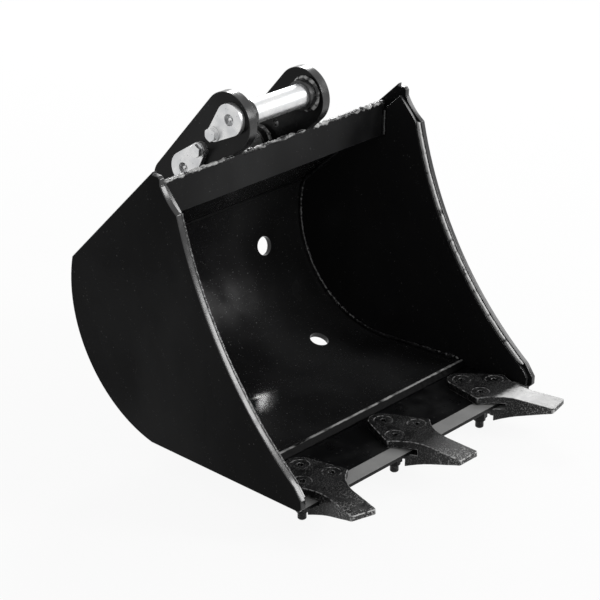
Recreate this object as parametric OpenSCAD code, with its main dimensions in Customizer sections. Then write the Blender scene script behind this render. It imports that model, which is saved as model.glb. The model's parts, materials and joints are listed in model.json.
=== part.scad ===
// Digging bucket for a small tractor backhoe, in millimetres.
// X runs across the bucket, +Y to its back and +Z up, with the flat of its floor level.
// Profiles are drawn in Y and Z from the lip corner, the upper end of a side plate's hollow mouth edge.
// The finished bucket is shifted so that its origin is the middle of the dipper pin.

/* [Body] */
// Width over the side plates at the mouth
bucket_w = 500; // [400:10:700]
// Angle by which each side leans in towards the back
side_lean = 3.75; // [0:0.25:6]
// How far the nose of a side plate stands ahead of the lip corner
mouth_reach = 197; // [170:1:220]
// Height of the nose of a side plate above its flat bottom
nose_rise = 33.5; // [24:0.5:60]
// Radius of the hollow mouth edge
mouth_r = 584; // [450:1:900]
// Radius of the round back of the side plates
back_r = 185; // [165:1:200]
// Distance of the centre of the round back behind the lip corner
back_y = 38; // [10:1:60]
// Depth of the centre of the round back below the lip corner
back_drop = 168; // [155:1:185]
// Depth of the flat that is cut under the round back of the side plates
flat_cut = 3.5; // [2:0.1:5]
// Slope of the top, down towards the back
top_angle = 43.7; // [38:0.1:48]
// Height of the line of the top straight above the lip corner
top_rise = 88.8; // [80:0.1:100]

/* [Plates] */
// Thickness of the outer side plates
plate_t = 8; // [5:0.5:10]
// Thickness of the inner side walls
wall_t = 6; // [4:0.5:8]
// Distance that the inner walls stay behind the mouth edge of the side plates
wall_setback = 6; // [4:0.5:12]
// Thickness of the top panel and of the rolled back and floor
shell_t = 8; // [5:0.5:10]
// Distance of the top panel and the back inside the edge of the side plates
shell_inset = 8.5; // [7:0.5:12]
// Distance of the front edge of the floor behind the front bolts of the middle tooth
floor_lag = 81; // [76:1:100]
// Diameter of the drain holes in the back
drain_d = 28; // [16:1:40]
// Distance of the drain holes from the middle of the bucket
drain_x = 133; // [90:1:150]
// Angles of the drain holes below level, about the centre of the round back
drain_angles = [14, 70.6];

/* [Cross beam] */
// Distance of the front of the cross beam behind the lip corner
beam_y = 60; // [50:1:75]
// Thickness of the cross beam
beam_t = 12; // [8:0.5:16]
// Depth of the underside of the cross beam below the lip corner
beam_drop = 29; // [15:1:40]

/* [Cutting edge] */
// Thickness of the cutting edge
edge_t = 8; // [6:0.5:12]
// Distance of the front bolts of the middle tooth behind the noses of the side plates
bolt_lag = 21; // [16:1:30]
// Distance from the front of the cutting edge to the front bolts of the middle tooth
edge_reach = 29.4; // [24:0.1:34]
// Length of the cutting edge under the floor
edge_lap = 25; // [12:1:40]
// Length of the ground slope on the cutting edge
edge_slope_l = 22; // [10:1:26]
// Height of the ground slope on the cutting edge
edge_slope_h = 2.9; // [1:0.1:5]

/* [Ears and pins] */
// Clear distance between the two ears
ear_gap = 131; // [110:1:160]
// Thickness of each ear
ear_t = 14.5; // [10:0.5:20]
// Radius of the nose of each ear
ear_nose_r = 41; // [36:0.5:46]
// Radius of the rear corner of each ear
ear_corner_r = 30; // [20:0.5:36]
// Diameter of the two pins
pin_d = 33; // [25:1:36]
// Distance between the dipper pin and the link pin, along the top panel
pin_pitch = 122; // [100:1:140]
// Height of the dipper pin above the top panel
dipper_h = 38.5; // [36:0.1:44]
// Height of the link pin above the top panel
link_h = 34.8; // [32:0.1:40]
// Distance of the dipper pin ahead of the front of the top, along the slope
dipper_lead = 35.5; // [30:0.1:42]
// Radial clearance of a pin in its bores
pin_clear = 0.08; // [0.02:0.01:0.1]
// Outer diameter of the bosses inside the ears
boss_d = 42; // [40:0.5:50]
// Length by which the bosses stand in from the ears
boss_l = 13.5; // [6:0.5:20]

/* [Pin retainers] */
// Thickness of the flag plates on the pins
flag_t = 8; // [5:0.5:10]
// Radius of a flag plate around its pin
flag_r = 22.3; // [20:0.1:25]
// Radius of the lobe of a flag plate around its bolt
lobe_r = 11; // [9:0.5:13]
// Distance from the dipper pin to its retaining bolt
dipper_lobe_reach = 37.5; // [36:0.5:44]
// Distance from the link pin to its retaining bolt
link_lobe_reach = 43.5; // [36:0.5:46]
// Diameter of the recess for the grease nipple
recess_d = 16; // [12:0.5:20]
// Thread diameter of the retaining bolts
keeper_d = 10; // [8:1:12]
// Width of the heads of the retaining bolts across their flats
keeper_w = 17; // [15:1:18]

/* [Teeth] */
// Distance of the outer teeth from the outside of the side plates
tooth_from_side = 68; // [60:1:90]
// Angles by which the left, middle and right tooth turn towards the left
tooth_turns = [16, 1, -12];
// Distance of the tip ahead of the front bolts
tooth_reach = 109; // [90:1:130]
// Width of a tooth at its tip
tip_w = 38; // [28:1:44]
// Thickness of a tooth at its tip
tip_t = 7.5; // [4:0.5:10]
// Width of a tooth across its shoulders
shoulder_w = 89; // [78:1:96]
// Radius of the hollow sides of a tooth
tooth_side_r = 70; // [50:1:90]
// Thickness of the upper flange of a tooth
upper_t = 10.5; // [8:0.5:13]
// Thickness of the lower flange of a tooth
lower_t = 8; // [6:0.5:10]
// Depth of the heel of the wedge below the lower flange
heel_h = 11; // [6:0.5:16]
// Distance across the two front bolts of a tooth
bolt_pitch = 45.4; // [36:0.1:52]
// Distance of the rear bolt behind the front bolts
rear_bolt = 40; // [32:1:50]

/* [Tooth bolts] */
// Thread diameter of the tooth bolts
bolt_d = 12; // [8:1:14]
// Length of the tooth bolts
bolt_l = 55; // [52:1:65]
// Diameter of the countersunk heads
head_d = 24.5; // [20:0.5:26]
// Width of the hexagon sockets across their flats
socket_w = 8; // [5:1:8]
// Radial clearance of the bolts in their holes
bolt_clear = 0.5; // [0.2:0.1:1]
// Width of the nuts across their flats
nut_w = 19; // [18:1:22]

/* [Hidden] */
$fn = 96;
fine = 360;

paint = [0.035, 0.035, 0.04];
weld_paint = [0.12, 0.12, 0.125];
zinc = [0.8, 0.8, 0.82];
bare_steel = [0.4, 0.4, 0.41];
worn_paint = [0.1, 0.1, 0.1];

// Overrun of every cut past the faces that it opens
over = 1;
// Length that reaches past the whole bucket from anywhere in it
span = 3 * max(bucket_w, mouth_reach + back_y + back_r, back_drop + back_r + top_rise);
// Gap left between flat faces of pieces that move apart
seat_gap = 0.2;

// Lip corner, nose and the line of the mouth
lip = [0, 0];
bottom_z = -(back_drop + back_r - flat_cut);
// A point inside the bucket, ahead of the centre of the round back
hub = [0, -back_drop];
// A place across the middle of the round back
back_mid = back_y + back_r / 2;
nose = [-mouth_reach, bottom_z + nose_rise];
mouth_dir = (nose - lip) / norm(nose - lip);
half_w = bucket_w / 2;

// Centre of the circle of radius r through p and q, on the left of the way from p to q
function arc_centre(p, q, r) =
    let (d = q - p, c = norm(d), s = sqrt(r * r - c * c / 4))
    (p + q) / 2 + [-d.y, d.x] * s / c;

mouth_c = arc_centre(nose, lip, mouth_r);
back_c = [back_y, -back_drop];

// Line of the top, and its corner with the round back, at a depth i inside the plate edge
top_u = [cos(top_angle), -sin(top_angle)];
top_n = [sin(top_angle), cos(top_angle)];
function top_z(y, i) = top_rise - i / cos(top_angle) - y * tan(top_angle);
function top_corner(i) =
    let (p = [0, top_z(0, i)], w = p - back_c, b = w * top_u, r = back_r - i)
    p + top_u * (sqrt(b * b - w * w + r * r) - b);

// Upper lip of a side plate: a hollow slope, a small upright nib and a level land
lip_slope = [28.5, 33];
lip_slope_r = 90;
lip_upright = 8;
lip_chamfer = 3.5;
land_y = 42;
lip_land_z = lip_slope.y + lip_upright + lip_chamfer;

// Nose of a side plate: an upright front over a small chamfer
nose_reach = 12;
nose_upper = 17;
nose_chamfer = 5;
nose_y = nose.x - nose_reach;

// Surfaces of the rolled back, the floor and the top panel
shell_r = back_r - shell_inset;
bore_r = shell_r - shell_t;
inner_inset = shell_inset + shell_t;
floor_top = -(back_drop + bore_r);
floor_bottom = -(back_drop + shell_r);
bolt_line = -(mouth_reach - bolt_lag);
floor_front = bolt_line + floor_lag;
beam_back = beam_y + beam_t;
lining = plate_t + wall_t;

// Cutting edge, set under the floor
edge_front = bolt_line - edge_reach;
edge_rear = floor_front + edge_lap;
edge_bottom = floor_bottom - edge_t;

// Ears and pins, placed along the outer face of the top panel
top_origin = [beam_y, top_z(beam_y, shell_inset)];
function on_top(t, h) = top_origin + t * top_u + h * top_n;
dipper = on_top(-dipper_lead, dipper_h);
link_lead = sqrt(pin_pitch * pin_pitch - (dipper_h - link_h) * (dipper_h - link_h));
link = on_top(link_lead - dipper_lead, link_h);
ear_nose_lag = 12;
ear_corner_lag = 44.5;
ear_corner_h = 38.8;
ear_nose = on_top(ear_nose_lag - dipper_lead, ear_nose_r);
ear_corner = on_top(link_lead - dipper_lead + ear_corner_lag, ear_corner_h);
ear_rear = ear_corner.x + ear_corner_r;
ear_in = ear_gap / 2;
ear_out = ear_in + ear_t;
boss_in = ear_in - boss_l;
pin_r = pin_d / 2;
pin_bore_r = pin_r + pin_clear;
pin_tail = 3;
pin_chamfer = 2.5;
// Oil groove round a pin at each boss, and the room that it leaves between the boss and the machine's bush
groove_depth = 0.4;
groove_w = 1.2;
bush_gap = 0.5;
grease_d = 5;
outlet_d = 4;
keeper_clear = 0.08;

// Directions from each pin to its retaining bolt, and the places of those bolts
dipper_lobe_angle = -42;
link_lobe_angle = 132;
function toward(a) = [cos(a), sin(a)];
dipper_lobe = dipper + dipper_lobe_reach * toward(dipper_lobe_angle);
link_lobe = link + link_lobe_reach * toward(link_lobe_angle);
flag_x = -(ear_out + seat_gap + flag_t);

// Retaining bolts and their washers
keeper_head_h = 6.4;
keeper_bevel = 0.3;
keeper_washer_d = 21;
keeper_washer_t = 1.5;
keeper_grip = 12;

// Grease nipple
nipple_hex_w = 8;
nipple_hex_h = 3;
nipple_neck_r = 2;
nipple_head_r = 3.2;
nipple_head_h = 2.6;
nipple_tip_r = 1.9;

// Teeth, in their own frame: forward is -Y, the middle of the front bolts is the origin
tooth_x = [-(half_w - tooth_from_side), 0, half_w - tooth_from_side];
tip_half = tip_w / 2;
shoulder_half = shoulder_w / 2;
side_c = [tip_half + tooth_side_r, sqrt(tooth_side_r * tooth_side_r
    - (tip_half + tooth_side_r - shoulder_half) * (tip_half + tooth_side_r - shoulder_half))];
shoulder_lead = 5.7;
neck_lead = shoulder_lead + side_c.y;
tail_r = 21;
tip_bevel = 2;
tip_top_drop = 3;
wedge_rear = 23;
slot_play = 9;
tooth_top = floor_bottom + upper_t;
flange_bottom = edge_bottom - lower_t;
heel_bottom = flange_bottom - heel_h;
tip_top = tooth_top - tip_top_drop;
crown_lead = shoulder_half;
bolt_places = [[-bolt_pitch / 2, 0], [bolt_pitch / 2, 0], [0, rear_bolt]];

// Tooth bolts, with a lock nut and a washer each
head_rim = 0.8;
head_cone = (head_d - bolt_d) / 2;
head_play = 0.2;
socket_h = 5;
washer_d = 24;
washer_t = 3;
nut_hex_h = 10;
nut_collar_h = 4;
nut_collar_d = 17;
bolt_point = 1.5;

// Weld beads
bead = 5;
small_bead = 3;
seam_bead_l = 9;
seam_bead_h = 2.4;
ear_bead = 7;
beam_bead_h = 2.6;
beam_bead_back = 7;

// Puts a finished piece in the part's own frame
module placed() {
    translate([0, -dipper.x, -dipper.y]) children();
}

// Draws a Y and Z profile and runs it across the bucket from x for a length l
module across(x, l) {
    translate([x, 0, 0]) rotate([90, 0, 90]) linear_extrude(l) children();
}

// Puts the left side's own frame on its lean, turned about the line of its mouth
module left_side() {
    translate([-half_w, 0, 0])
        rotate(a = side_lean, v = [0, mouth_dir.x, mouth_dir.y])
            children();
}

module right_side() {
    mirror([1, 0, 0]) left_side() children();
}

// All space that lies nearer than depth to the outer faces of the side plates
module beyond(depth) {
    for (m = [0, 1])
        mirror([m, 0, 0])
            left_side()
                translate([depth - span, -span, -span])
                    cube([span, 2 * span, 2 * span]);
}

// A profile that runs from one side to the other, cut back by depth from the outer faces
module side_to_side(depth) {
    difference() {
        across(-half_w, bucket_w) children();
        beyond(depth);
    }
}

module circle_at(c, r) {
    translate(c) circle(r = r);
}

// Everything below the line of the top, at a depth i inside the plate edge
module below_top(i) {
    translate([0, top_z(0, i)])
        rotate(-top_angle)
            translate([-span, -span])
                square([2 * span, span]);
}

// The round back at a depth i inside the plate edge, from under the hub round to the middle of the top
module round_back(i) {
    intersection() {
        circle_at(back_c, back_r - i);
        polygon([hub, [hub.x, -span], [span, -span], hub + span * top_n]);
    }
}

// Inside of the bucket at a depth i inside the plate edge, starting a length ahead of beam and seam
module hollow_outline(i, ahead) {
    low = [back_y, -(back_drop + back_r - i)];
    intersection() {
        below_top(i);
        union() {
            polygon([
                [floor_front - ahead, low.y],
                low,
                [back_mid, top_z(back_mid, i - over)],
                [beam_back - ahead, top_z(beam_back - ahead, i - over)]
            ]);
            round_back(i);
        }
    }
}

module side_outline() {
    difference() {
        union() {
            polygon([
                nose + [nose_reach, nose_upper] / 2,
                [nose_y, nose.y - nose_upper],
                [nose_y, bottom_z + nose_chamfer],
                [nose_y + nose_chamfer + over, bottom_z - over],
                [back_y + over, bottom_z - over],
                [back_mid, top_z(back_mid, -over)],
                [land_y, top_z(land_y, -over)],
                [land_y, lip_land_z],
                lip_slope + [lip_chamfer, lip_upright + lip_chamfer],
                lip_slope + [0, lip_upright],
                lip_slope - [0, over],
                [-nose_reach, lip_slope.y - over]
            ]);
            round_back(0);
        }
        translate([-span, bottom_z - span]) square([2 * span, span]);
        translate([0, top_z(0, 0)]) rotate(-top_angle) translate([-span, 0]) square([2 * span, span]);
        translate(mouth_c) circle(r = mouth_r, $fn = fine);
        intersection() {
            circle_at(arc_centre(lip, lip_slope, lip_slope_r), lip_slope_r);
            translate([-span, lip_slope.y - over / 2 - span]) square([2 * span, span]);
        }
    }
}

// Inner wall: inside the shell, behind the mouth edge, standing on the floor and the cutting edge
module wall_outline() {
    front = nose_y + wall_setback;
    top_front = lip_slope.x + wall_setback;
    difference() {
        intersection() {
            below_top(inner_inset);
            union() {
                polygon([
                    [nose.x + wall_setback, nose.y],
                    [front, nose.y - nose_upper],
                    [front, floor_bottom],
                    [floor_front, floor_bottom],
                    [floor_front, floor_top],
                    [back_y, floor_top],
                    [back_mid, top_z(back_mid, inner_inset - over)],
                    [top_front, top_z(top_front, inner_inset - over)],
                    [top_front, lip_slope.y],
                    lip + [wall_setback, 0]
                ]);
                round_back(inner_inset);
            }
        }
        translate(mouth_c) circle(r = mouth_r + wall_setback, $fn = fine);
    }
}

module top_outline() {
    polygon([
        [beam_back, top_z(beam_back, inner_inset)],
        top_corner(inner_inset),
        top_corner(shell_inset),
        [beam_back, top_z(beam_back, shell_inset)]
    ]);
}

module back_outline() {
    outer = top_corner(shell_inset);
    inner = top_corner(inner_inset);
    mitre = outer - inner;
    difference() {
        hollow_outline(shell_inset, 0);
        hollow_outline(inner_inset, over);
        polygon([inner - mitre, outer + mitre, outer + [0, span], [-span, span], hub]);
    }
}

// Outside of the bucket under the ears, which their feet follow
module under_ears() {
    hollow_outline(shell_inset, span);
}

module ear_outline() {
    difference() {
        hull() {
            circle_at(ear_nose, ear_nose_r);
            circle_at(ear_corner, ear_corner_r);
            polygon([ear_corner, [ear_rear, ear_corner.y], [ear_rear, back_c.y]]);
        }
        under_ears();
        circle_at(dipper, pin_bore_r);
        circle_at(link, pin_bore_r);
        circle_at(dipper_lobe, keeper_d / 2 + keeper_clear);
        circle_at(link_lobe, keeper_d / 2 + keeper_clear);
    }
}

module side_plate() {
    color(paint) across(0, plate_t) side_outline();
}

module side_wall() {
    color(paint) across(plate_t, wall_t) wall_outline();
}

module side_plate_left() { placed() left_side() side_plate(); }
module side_plate_right() { placed() right_side() side_plate(); }
module side_wall_left() { placed() left_side() side_wall(); }
module side_wall_right() { placed() right_side() side_wall(); }

module top_panel() {
    color(paint) placed() side_to_side(plate_t) top_outline();
}

module back_and_floor() {
    color(paint) placed() difference() {
        side_to_side(plate_t) back_outline();
        for (s = [-1, 1], a = drain_angles)
            translate([s * drain_x, back_c.x, back_c.y])
                rotate([-90 - a, 0, 0])
                    translate([0, 0, bore_r - drain_d])
                        cylinder(d = drain_d, h = shell_t + 2 * drain_d);
    }
}

module cross_beam() {
    color(paint) placed() side_to_side(lining) polygon([
        [beam_y, -beam_drop],
        [beam_back, -beam_drop],
        [beam_back, top_z(beam_back, shell_inset)],
        [beam_y, top_z(beam_y, shell_inset)]
    ]);
}

// Places a child at each tooth, turned in plan
module at_tooth(i) {
    translate([tooth_x[i], bolt_line, 0]) rotate(-tooth_turns[i]) children();
}

module at_bolts(i) {
    at_tooth(i) for (p = bolt_places) translate([p.x, p.y, 0]) children();
}

module cutting_edge() {
    color(bare_steel) placed() difference() {
        side_to_side(plate_t) polygon([
            [edge_front, edge_bottom],
            [edge_rear, edge_bottom],
            [edge_rear, floor_bottom],
            [edge_front + edge_slope_l, floor_bottom],
            [edge_front, floor_bottom - edge_slope_h]
        ]);
        for (i = [0 : 2])
            at_bolts(i)
                translate([0, 0, edge_bottom - over])
                    cylinder(d = bolt_d + 2 * bolt_clear, h = edge_t + 2 * over);
    }
}

module ear(x) {
    color(paint) placed() across(x, ear_t) ear_outline();
}

module ear_left() { ear(-ear_out); }
module ear_right() { ear(ear_in); }

module boss(x, c) {
    color(paint) placed() across(x, boss_l) difference() {
        circle_at(c, boss_d / 2);
        circle_at(c, pin_bore_r);
    }
}

module dipper_boss_left() { boss(-ear_in, dipper); }
module dipper_boss_right() { boss(boss_in, dipper); }
module link_boss_left() { boss(-ear_in, link); }
module link_boss_right() { boss(boss_in, link); }

// Ring that cuts an oil groove round a pin along Z, from z
module groove(z) {
    translate([0, 0, z]) difference() {
        cylinder(r = pin_r + over, h = groove_w);
        translate([0, 0, -over]) cylinder(r = pin_r - groove_depth, h = groove_w + 2 * over);
    }
}

// A pin along X at c, drilled for grease to the middle of its bearing
module pin(c, outlet) {
    head = ear_out + seat_gap;
    tail = ear_out + pin_tail;
    color(zinc) placed() translate([0, c.x, c.y]) difference() {
        rotate([0, 90, 0]) union() {
            translate([0, 0, -head]) cylinder(r = pin_r, h = head + tail - pin_chamfer);
            translate([0, 0, tail - pin_chamfer]) cylinder(r1 = pin_r, r2 = pin_r - pin_chamfer, h = pin_chamfer);
        }
        translate([-head - over, 0, 0]) rotate([0, 90, 0]) cylinder(d = grease_d, h = head + over);
        rotate([outlet, 0, 0]) cylinder(d = outlet_d, h = pin_r + over);
        rotate([0, 90, 0]) groove(boss_in - bush_gap);
        rotate([0, 90, 0]) groove(bush_gap - boss_in - groove_w);
    }
}

module flag(c, lobe) {
    color(zinc) placed() across(flag_x, flag_t) difference() {
        hull() {
            circle_at(c, flag_r);
            circle_at(lobe, lobe_r);
        }
        circle_at(c, recess_d / 2);
        circle_at(lobe, keeper_d / 2 + bolt_clear);
    }
}

// Grease nipple on the end of a pin, pointing to -X
module nipple(c) {
    color(zinc) placed() translate([-(ear_out + seat_gap), c.x, c.y]) rotate([0, -90, 0]) difference() {
        union() {
            cylinder(r = nipple_hex_w / 2 / cos(30), h = nipple_hex_h, $fn = 6);
            translate([0, 0, nipple_hex_h])
                cylinder(r = nipple_neck_r, h = nipple_head_h);
            translate([0, 0, nipple_hex_h + nipple_head_h / 2])
                cylinder(r1 = nipple_head_r, r2 = nipple_tip_r, h = nipple_head_h);
        }
        translate([0, 0, -over]) cylinder(d = nipple_neck_r, h = nipple_hex_h + 2 * nipple_head_h + over);
    }
}

// Retaining bolt that screws through a flag's lobe into the ear
module keeper_bolt(c) {
    seat = flag_x - seat_gap - keeper_washer_t;
    shank = keeper_washer_t + seat_gap + flag_t + seat_gap + keeper_grip;
    color(zinc) placed() translate([seat, c.x, c.y]) rotate([0, 90, 0]) {
        cylinder(d = keeper_d, h = shank);
        intersection() {
            translate([0, 0, -keeper_head_h])
                cylinder(r = keeper_w / 2 / cos(30), h = keeper_head_h, $fn = 6);
            translate([0, 0, -keeper_head_h])
                cylinder(r1 = keeper_w / 2 - keeper_bevel, r2 = keeper_w / 2 - keeper_bevel + 2 * keeper_head_h,
                    h = keeper_head_h);
        }
    }
}

module keeper_washer(c) {
    color(zinc) placed()
        across(flag_x - seat_gap - keeper_washer_t, keeper_washer_t) difference() {
            circle_at(c, keeper_washer_d / 2);
            circle_at(c, keeper_d / 2);
        }
}

module dipper_pin() { pin(dipper, 90 + top_angle); }
module dipper_flag() { flag(dipper, dipper_lobe); }
module dipper_nipple() { nipple(dipper); }
module dipper_keeper_bolt() { keeper_bolt(dipper_lobe); }
module dipper_keeper_washer() { keeper_washer(dipper_lobe); }
module link_pin() { pin(link, 90 + top_angle); }
module link_flag() { flag(link, link_lobe); }
module link_nipple() { nipple(link); }
module link_keeper_bolt() { keeper_bolt(link_lobe); }
module link_keeper_washer() { keeper_washer(link_lobe); }

// Plan of a tooth: a round tail, tapering flanges, hollow sides and a straight neck
module tooth_plan() {
    difference() {
        union() {
            hull() {
                circle_at([0, rear_bolt], tail_r);
                translate([-shoulder_half, -shoulder_lead]) square([shoulder_w, shoulder_lead / 2]);
            }
            polygon([
                [0, rear_bolt],
                [-shoulder_half, -shoulder_lead],
                [-tip_half, -neck_lead],
                [-tip_half, tip_bevel - tooth_reach],
                [tip_bevel - tip_half, -tooth_reach],
                [tip_half - tip_bevel, -tooth_reach],
                [tip_half, tip_bevel - tooth_reach],
                [tip_half, -neck_lead],
                [shoulder_half, -shoulder_lead]
            ]);
        }
        for (s = [-1, 1])
            circle_at([s * side_c.x, -neck_lead], tooth_side_r);
    }
}

// Side view of a tooth: two flanges round the cutting edge, running out into one wedge
module tooth_side() {
    rear = rear_bolt + tail_r + over;
    difference() {
        polygon([
            [rear, tooth_top],
            [-crown_lead, tooth_top],
            [-tooth_reach, tip_top],
            [-tooth_reach, tip_top - tip_t],
            [-wedge_rear, heel_bottom],
            [-wedge_rear, flange_bottom],
            [rear, flange_bottom]
        ]);
        translate([-edge_reach - slot_play, edge_bottom])
            square([edge_reach + slot_play + rear + over, edge_t]);
    }
}

module tooth(i) {
    color(worn_paint) placed() at_tooth(i) difference() {
        intersection() {
            translate([0, 0, heel_bottom - over])
                linear_extrude(tooth_top - heel_bottom + 2 * over)
                    tooth_plan();
            across(-shoulder_w, 2 * shoulder_w) tooth_side();
        }
        for (p = bolt_places) translate([p.x, p.y, 0]) {
            translate([0, 0, heel_bottom])
                cylinder(d = bolt_d + 2 * bolt_clear, h = tooth_top - heel_bottom + over);
            translate([0, 0, tooth_top - head_rim - head_cone])
                cylinder(d1 = bolt_d + 2 * head_play, d2 = head_d + 2 * head_play, h = head_cone);
            translate([0, 0, tooth_top - head_rim])
                cylinder(d = head_d + 2 * head_play, h = head_rim + over);
        }
    }
}

module tooth_left() { tooth(0); }
module tooth_middle() { tooth(1); }
module tooth_right() { tooth(2); }

// Countersunk bolt with its head level with the top of the tooth
module tooth_bolt() {
    end = tooth_top - bolt_l;
    difference() {
        union() {
            translate([0, 0, end + bolt_point])
                cylinder(d = bolt_d, h = bolt_l - bolt_point - head_rim);
            translate([0, 0, end])
                cylinder(d1 = bolt_d - 2 * bolt_point, d2 = bolt_d, h = bolt_point);
            translate([0, 0, tooth_top - head_rim - head_cone])
                cylinder(d1 = bolt_d, d2 = head_d, h = head_cone);
            translate([0, 0, tooth_top - head_rim])
                cylinder(d = head_d, h = head_rim);
        }
        translate([0, 0, tooth_top - socket_h])
            cylinder(r = socket_w / 2 / cos(30), h = socket_h + over, $fn = 6);
    }
}

module tooth_bolts() {
    color(paint) placed() for (i = [0 : 2]) at_bolts(i) tooth_bolt();
}

module tooth_washers() {
    color(paint) placed() for (i = [0 : 2]) at_bolts(i)
        translate([0, 0, flange_bottom - washer_t]) difference() {
            cylinder(d = washer_d, h = washer_t);
            translate([0, 0, -over]) cylinder(d = bolt_d, h = washer_t + 2 * over);
        }
}

module tooth_nuts() {
    color(paint) placed() for (i = [0 : 2]) at_bolts(i)
        translate([0, 0, flange_bottom - washer_t - nut_hex_h]) difference() {
            union() {
                cylinder(r = nut_w / 2 / cos(30), h = nut_hex_h, $fn = 6);
                translate([0, 0, -nut_collar_h]) cylinder(d = nut_collar_d, h = nut_collar_h);
            }
            translate([0, 0, -nut_collar_h - over])
                cylinder(d = bolt_d, h = nut_hex_h + nut_collar_h + 2 * over);
        }
}

// Bead along the mouth edge of an inner wall, in the corner with its side plate
module weld_mouth() {
    color(weld_paint) across(plate_t, bead) difference() {
        intersection() {
            translate(mouth_c) circle(r = mouth_r + wall_setback, $fn = fine);
            polygon([nose, nose + [wall_setback + bead, 0], back_c, lip + [bead + wall_setback, 0], lip]);
        }
        translate(mouth_c) circle(r = mouth_r + wall_setback - bead, $fn = fine);
    }
}

// A profile cut to a strip of width w along one side, starting a depth inside the outer faces
module along_side(side, depth, w) {
    intersection() {
        across(-half_w, bucket_w) children();
        mirror([side < 0 ? 0 : 1, 0, 0])
            left_side()
                translate([depth, -span, -span])
                    cube([w, 2 * span, 2 * span]);
    }
}

// Bead in the inner corner of a side wall with the top, the back and the floor
module weld_corner(side) {
    color(weld_paint) placed() along_side(side, lining, bead) difference() {
        hollow_outline(inner_inset, -small_bead);
        hollow_outline(inner_inset + bead, 2 * bead);
    }
}

// Bead outside, along the corner of a side plate with the top and the back
module weld_back(side) {
    color(weld_paint) placed() along_side(side, plate_t, bead) difference() {
        hollow_outline(shell_inset - bead, 0);
        hollow_outline(shell_inset, 2 * bead);
        translate([-span, -span]) square([span + back_y + over, 2 * span]);
        on_slope(-over, -over) square([beam_t / cos(top_angle) + beam_bead_back + over, span]);
    }
}

// A child drawn in the slope's own frame, at t along it and h above the top panel
module on_slope(t, h) {
    translate(on_top(t, h)) rotate(-top_angle) children();
}

module weld_mouth_left() { placed() left_side() weld_mouth(); }
module weld_mouth_right() { placed() right_side() weld_mouth(); }
module weld_corner_left() { weld_corner(-1); }
module weld_corner_right() { weld_corner(1); }
module weld_back_left() { weld_back(-1); }
module weld_back_right() { weld_back(1); }

// Takes out of a bead the places where the ears stand
module clear_of_ears() {
    difference() {
        children();
        for (x = [-ear_out, ear_in])
            translate([x, -span, -span])
                cube([ear_t, 2 * span, 2 * span]);
    }
}

// Bead over the joint of the cross beam and the top panel
module weld_beam_top() {
    color(weld_paint) placed() clear_of_ears() side_to_side(plate_t + bead) polygon([
        on_top(0, 0),
        on_top(beam_t / cos(top_angle) + beam_bead_back, 0),
        on_top(beam_t / cos(top_angle), beam_bead_h),
        on_top(beam_bead_h, beam_bead_h)
    ]);
}

// Upright beads where the front of the cross beam meets the inner walls
module weld_beam_ends() {
    color(weld_paint) placed() for (side = [-1, 1]) along_side(side, lining, bead)
        translate([beam_y - bead, -beam_drop])
            square([bead, beam_drop + top_z(beam_y, inner_inset)]);
}

// Beads inside and outside along the bend of the top into the back
module weld_top_rear() {
    color(weld_paint) placed() {
        clear_of_ears() side_to_side(plate_t + bead) difference() {
            circle_at(top_corner(shell_inset), small_bead);
            under_ears();
        }
        side_to_side(lining + bead) intersection() {
            circle_at(top_corner(inner_inset), small_bead);
            hollow_outline(inner_inset, 0);
        }
    }
}

// Bead along the front edge of the floor, where it laps the cutting edge
module weld_floor_seam() {
    color(weld_paint) placed() side_to_side(lining) polygon([
        [floor_front, floor_bottom],
        [floor_front, floor_top],
        [floor_front + small_bead, floor_top],
        [floor_front + small_bead / 2, floor_top + seam_bead_h],
        [floor_front - small_bead / 2, floor_top + seam_bead_h],
        [floor_front - seam_bead_l, floor_bottom + small_bead / 2],
        [floor_front - seam_bead_l, floor_bottom]
    ]);
}

// Fillets along both feet of an ear on the top panel
module weld_ear(side) {
    start = beam_t / cos(top_angle) + beam_bead_back;
    stop = norm(top_corner(shell_inset) - top_origin) - small_bead - over;
    color(weld_paint) placed()
        translate([side * (ear_in + ear_out) / 2, top_origin.x, top_origin.y])
            rotate([-top_angle, 0, 0])
                for (s = [-1, 1])
                    translate([0, stop, 0])
                        rotate([90, 0, 0])
                            linear_extrude(stop - start)
                                polygon([
                                    [s * ear_t / 2, 0],
                                    [s * (ear_t / 2 + ear_bead), 0],
                                    [s * ear_t / 2, ear_bead]
                                ]);
}

module weld_ear_left() { weld_ear(-1); }
module weld_ear_right() { weld_ear(1); }

// Ring fillets round the bosses on the inner faces of the ears
module weld_bosses() {
    color(weld_paint) placed()
        for (m = [0, 1], c = [dipper, link])
            mirror([m, 0, 0])
                translate([-ear_in, c.x, c.y])
                    rotate([0, 90, 0])
                        difference() {
                            cylinder(d1 = boss_d + 2 * bead, d2 = boss_d, h = bead);
                            translate([0, 0, -over]) cylinder(d = boss_d, h = bead + 2 * over);
                        }
}

side_plate_left();
side_plate_right();
side_wall_left();
side_wall_right();
top_panel();
back_and_floor();
cross_beam();
cutting_edge();
ear_left();
ear_right();
dipper_boss_left();
dipper_boss_right();
link_boss_left();
link_boss_right();
dipper_pin();
dipper_flag();
dipper_nipple();
dipper_keeper_bolt();
dipper_keeper_washer();
link_pin();
link_flag();
link_nipple();
link_keeper_bolt();
link_keeper_washer();
tooth_left();
tooth_middle();
tooth_right();
tooth_bolts();
tooth_washers();
tooth_nuts();
weld_mouth_left();
weld_mouth_right();
weld_corner_left();
weld_corner_right();
weld_back_left();
weld_back_right();
weld_beam_top();
weld_beam_ends();
weld_top_rear();
weld_floor_seam();
weld_ear_left();
weld_ear_right();
weld_bosses();
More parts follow.
